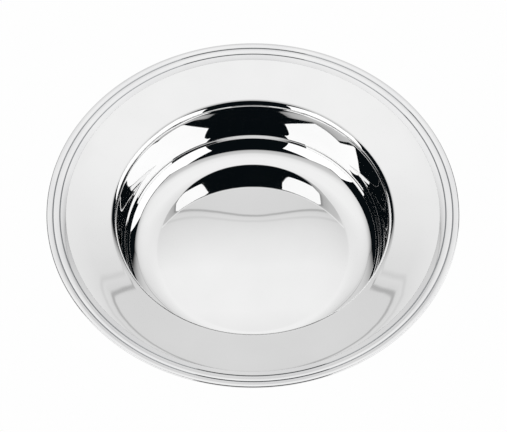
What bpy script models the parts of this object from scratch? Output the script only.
"""Offering plate, in metres, +Z up, with its origin at the centre of the ring that it stands on.

The plate is two pieces of plated metal. The dish is spun from one disc of sheet: a raised
middle, a rolled ring to stand on, a deep well and a wide flange. A drawn moulding, a flat band
and two broad reeds, is bent into a ring and soldered round the flange, whose edge lies in its
rebate.
"""

from math import cos, pi, radians, sin, tan

import bpy

# The whole plate.
RIM_RADIUS = 0.127
SHEET = 0.0012
SOLDER_GAP = 0.0003
SIDES = 72

# The flange rises outwards, steepest at its middle, and eases to the joint. Slopes are in degrees.
JOINT_RADIUS = 0.1151
MIDDLE_RADIUS = 0.1040
WELL_MOUTH_RADIUS = 0.0880
FLANGE_SLOPE_AT_JOINT = 7.2
FLANGE_SLOPE_AT_MIDDLE = 10.9
FLANGE_SLOPE_AT_WELL = 10.3

# The well, from the flange down to the ring that the plate stands on.
SHOULDER_BEND_RADIUS = 0.0047
WALL_SLOPE_TOP = 88.9
WALL_SLOPE_FOOT = 83.3
WALL_DEPTH = 0.0225
FILLET_BEND_RADIUS = 0.0142
FILLET_SLOPE_END = 15.1
RING_RUN = 0.01135
RING_SLOPE_END = -3.2

# The middle is pushed up into a shallow dome, so that only the ring touches the table.
DOME_ROLL = 0.0012
DOME_SLOPE_EDGE = -8.8
DOME_FLATNESS = 1.1
LAPPED_OFF = 0.00008

# The moulding, outwards from the joint: a flat band, then two broad reeds with a nick before each.
BAND_SLOPE = 17.5
GROOVE_RADII = (0.1187, 0.12294)
GROOVE_WIDTH = 0.0007
GROOVE_DEPTH = 0.0003
REED_SLOPE = 8.0
REED_CROWN = 0.00015
NOSE_RADIUS = 0.00065
UNDERSIDE_DROP = 0.0013
TONGUE_REACH = 0.0030
TONGUE_THICKNESS = 0.0007


def flange_slope(radius):
    """Slope of the flange's upper face, which changes evenly on each side of its middle."""
    if radius > MIDDLE_RADIUS:
        share = (radius - MIDDLE_RADIUS) / (JOINT_RADIUS - MIDDLE_RADIUS)
        return FLANGE_SLOPE_AT_MIDDLE + (FLANGE_SLOPE_AT_JOINT - FLANGE_SLOPE_AT_MIDDLE) * share
    share = (MIDDLE_RADIUS - radius) / (MIDDLE_RADIUS - WELL_MOUTH_RADIUS)
    return FLANGE_SLOPE_AT_MIDDLE + (FLANGE_SLOPE_AT_WELL - FLANGE_SLOPE_AT_MIDDLE) * share


def rise_between(inner_radius, outer_radius):
    """Rise of the flange between two radii on the same side of its middle."""
    mean_slope = (flange_slope(inner_radius) + flange_slope(outer_radius)) / 2
    return (outer_radius - inner_radius) * tan(radians(mean_slope))


def flange_height(radius):
    """Height of the flange's upper face above the well's mouth."""
    if radius > MIDDLE_RADIUS:
        return rise_between(WELL_MOUTH_RADIUS, MIDDLE_RADIUS) + rise_between(MIDDLE_RADIUS, radius)
    return rise_between(WELL_MOUTH_RADIUS, radius)


def flange_stations(edge_radius):
    """Stations (radius, height, slope) from the flange's edge in to the well's mouth."""
    half_way_out = (edge_radius + MIDDLE_RADIUS) / 2
    half_way_in = (MIDDLE_RADIUS + WELL_MOUTH_RADIUS) / 2
    radii = (edge_radius, half_way_out, MIDDLE_RADIUS, half_way_in, WELL_MOUTH_RADIUS)
    return [(radius, flange_height(radius), flange_slope(radius)) for radius in radii]


def bend_on(stations, slope_to, length, pieces):
    """Walk on inwards from the last station while the slope turns evenly to slope_to."""
    radius, height, slope_from = stations[-1]
    for i in range(pieces):
        middle = radians(slope_from + (slope_to - slope_from) * (i + 0.5) / pieces)
        radius -= cos(middle) * length / pieces
        height -= sin(middle) * length / pieces
        stations.append((radius, height, slope_from + (slope_to - slope_from) * (i + 1) / pieces))


def turn_length(bend_radius, slope_from, slope_to):
    return bend_radius * radians(abs(slope_to - slope_from))


def dome_on(stations, pieces):
    """Close the section to the axis with a dome that is a little flatter than a ball's cap."""
    edge_radius, edge_height, edge_slope = stations[-1]
    steepness = tan(radians(-edge_slope))
    power = DOME_FLATNESS + 1
    for i in range(1, pieces + 1):
        share = 1 - i / pieces
        height = edge_height + steepness * edge_radius * (1 - share**power) / power
        slope = edge_slope * share**DOME_FLATNESS
        stations.append((edge_radius * share, height, slope))


def dish_stations():
    """The dish's upper face, from the flange's edge in to the axis."""
    stations = flange_stations(JOINT_RADIUS - SOLDER_GAP)
    shoulder = turn_length(SHOULDER_BEND_RADIUS, FLANGE_SLOPE_AT_WELL, WALL_SLOPE_TOP)
    bend_on(stations, WALL_SLOPE_TOP, shoulder, 5)
    bend_on(stations, WALL_SLOPE_FOOT, WALL_DEPTH, 1)
    fillet = turn_length(FILLET_BEND_RADIUS, WALL_SLOPE_FOOT, FILLET_SLOPE_END)
    bend_on(stations, FILLET_SLOPE_END, fillet, 6)
    bend_on(stations, RING_SLOPE_END, RING_RUN, 5)
    bend_on(stations, DOME_SLOPE_EDGE, DOME_ROLL, 2)
    dome_on(stations, 5)
    return stations


def underside(station):
    """The point one sheet's thickness below a station, square to the face."""
    radius, height, slope = station
    return (radius + SHEET * sin(radians(slope)), height - SHEET * cos(radians(slope)))


def standing_level(stations):
    """Height of the flat that lapping leaves all round the lowest part of the underside."""
    return min(underside(station)[1] for station in stations) + LAPPED_OFF


def dish_section(stations, level):
    """Closed section of the dish: the upper face outwards, then the underside back in.

    The disc's edge is trimmed upright, and nothing reaches below the level it is lapped to.
    """
    edge_radius = stations[0][0]
    section = [(radius, height - level) for radius, height, slope in reversed(stations)]
    for radius, height in map(underside, stations):
        section.append((min(radius, edge_radius), max(height - level, 0.0)))
    return section


def chord_on(points, outer_radius, slope, crown, pieces):
    """Walk on outwards along a straight slope, with a crown that is raised above it."""
    radius, height = points[-1]
    run = outer_radius - radius
    for i in range(1, pieces + 1):
        share = i / pieces
        lift = crown * 4 * share * (1 - share)
        points.append((radius + run * share, height + run * share * tan(radians(slope)) + lift))


def groove_on(points):
    """Walk on outwards across a nick that is level from lip to lip."""
    radius, height = points[-1]
    points.append((radius + GROOVE_WIDTH / 2, height - GROOVE_DEPTH))
    points.append((radius + GROOVE_WIDTH, height))


def nose_on(points, pieces):
    """Walk round the moulding's outer edge, from the last reed down to the underside."""
    radius, top = points[-1]
    for i in range(1, pieces + 1):
        angle = pi / 2 - pi * i / pieces
        height = top - NOSE_RADIUS + NOSE_RADIUS * sin(angle)
        points.append((radius + NOSE_RADIUS * cos(angle), height))


def moulding_section(level):
    """Closed section of the moulding: over the reeds, round the nose, and back along its rebate."""
    inner_groove, outer_groove = GROOVE_RADII
    points = [(JOINT_RADIUS, flange_height(JOINT_RADIUS))]
    chord_on(points, inner_groove - GROOVE_WIDTH / 2, BAND_SLOPE, 0.0, 1)
    groove_on(points)
    chord_on(points, outer_groove - GROOVE_WIDTH / 2, REED_SLOPE, REED_CROWN, 4)
    groove_on(points)
    chord_on(points, RIM_RADIUS - NOSE_RADIUS, REED_SLOPE, REED_CROWN, 4)
    nose_on(points, 4)
    tongue_tip = JOINT_RADIUS - TONGUE_REACH
    seat = SHEET + SOLDER_GAP
    rebate = [(inner_groove, UNDERSIDE_DROP)]
    rebate.append((JOINT_RADIUS, seat + TONGUE_THICKNESS))
    rebate.append((tongue_tip, seat + TONGUE_THICKNESS))
    rebate.append((tongue_tip, seat))
    rebate.append((JOINT_RADIUS, seat))
    points += [(radius, flange_height(radius) - below) for radius, below in rebate]
    return [(radius, height - level) for radius, height in points]


def silver_plate(name, colour, roughness):
    material = bpy.data.materials.new(name)
    material.use_nodes = True
    shader = material.node_tree.nodes["Principled BSDF"]
    shader.inputs["Base Color"].default_value = (*colour, 1.0)
    shader.inputs["Metallic"].default_value = 1.0
    shader.inputs["Roughness"].default_value = roughness
    material.diffuse_color = (*colour, 1.0)
    return material


def turned(name, section, closed, material, collection):
    """A turned piece: its section stands at +X and a Screw takes it once round the Z axis."""
    count = len(section)
    edges = [(i, i + 1) for i in range(count - 1)]
    if closed:
        edges.append((count - 1, 0))
    mesh = bpy.data.meshes.new(name)
    mesh.from_pydata([(radius, 0.0, height) for radius, height in section], edges, [])
    mesh.materials.append(material)
    piece = bpy.data.objects.new(name, mesh)
    collection.objects.link(piece)
    screw = piece.modifiers.new("turn", "SCREW")
    screw.axis = "Z"
    screw.steps = SIDES
    screw.render_steps = SIDES
    screw.use_merge_vertices = True
    screw.merge_threshold = 0.00001
    screw.use_smooth_shade = True
    return piece


def clear_scene():
    for item in list(bpy.data.objects):
        bpy.data.objects.remove(item, do_unlink=True)


def build():
    clear_scene()
    collection = bpy.data.collections.new("offering_plate")
    bpy.context.scene.collection.children.link(collection)
    stations = dish_stations()
    level = standing_level(stations)
    dish_metal = silver_plate("polished_plate", (0.90, 0.90, 0.88), 0.04)
    border_metal = silver_plate("polished_border", (0.89, 0.89, 0.88), 0.06)
    turned("spun_dish", dish_section(stations, level), False, dish_metal, collection)
    turned("reeded_border", moulding_section(level), True, border_metal, collection)


build()
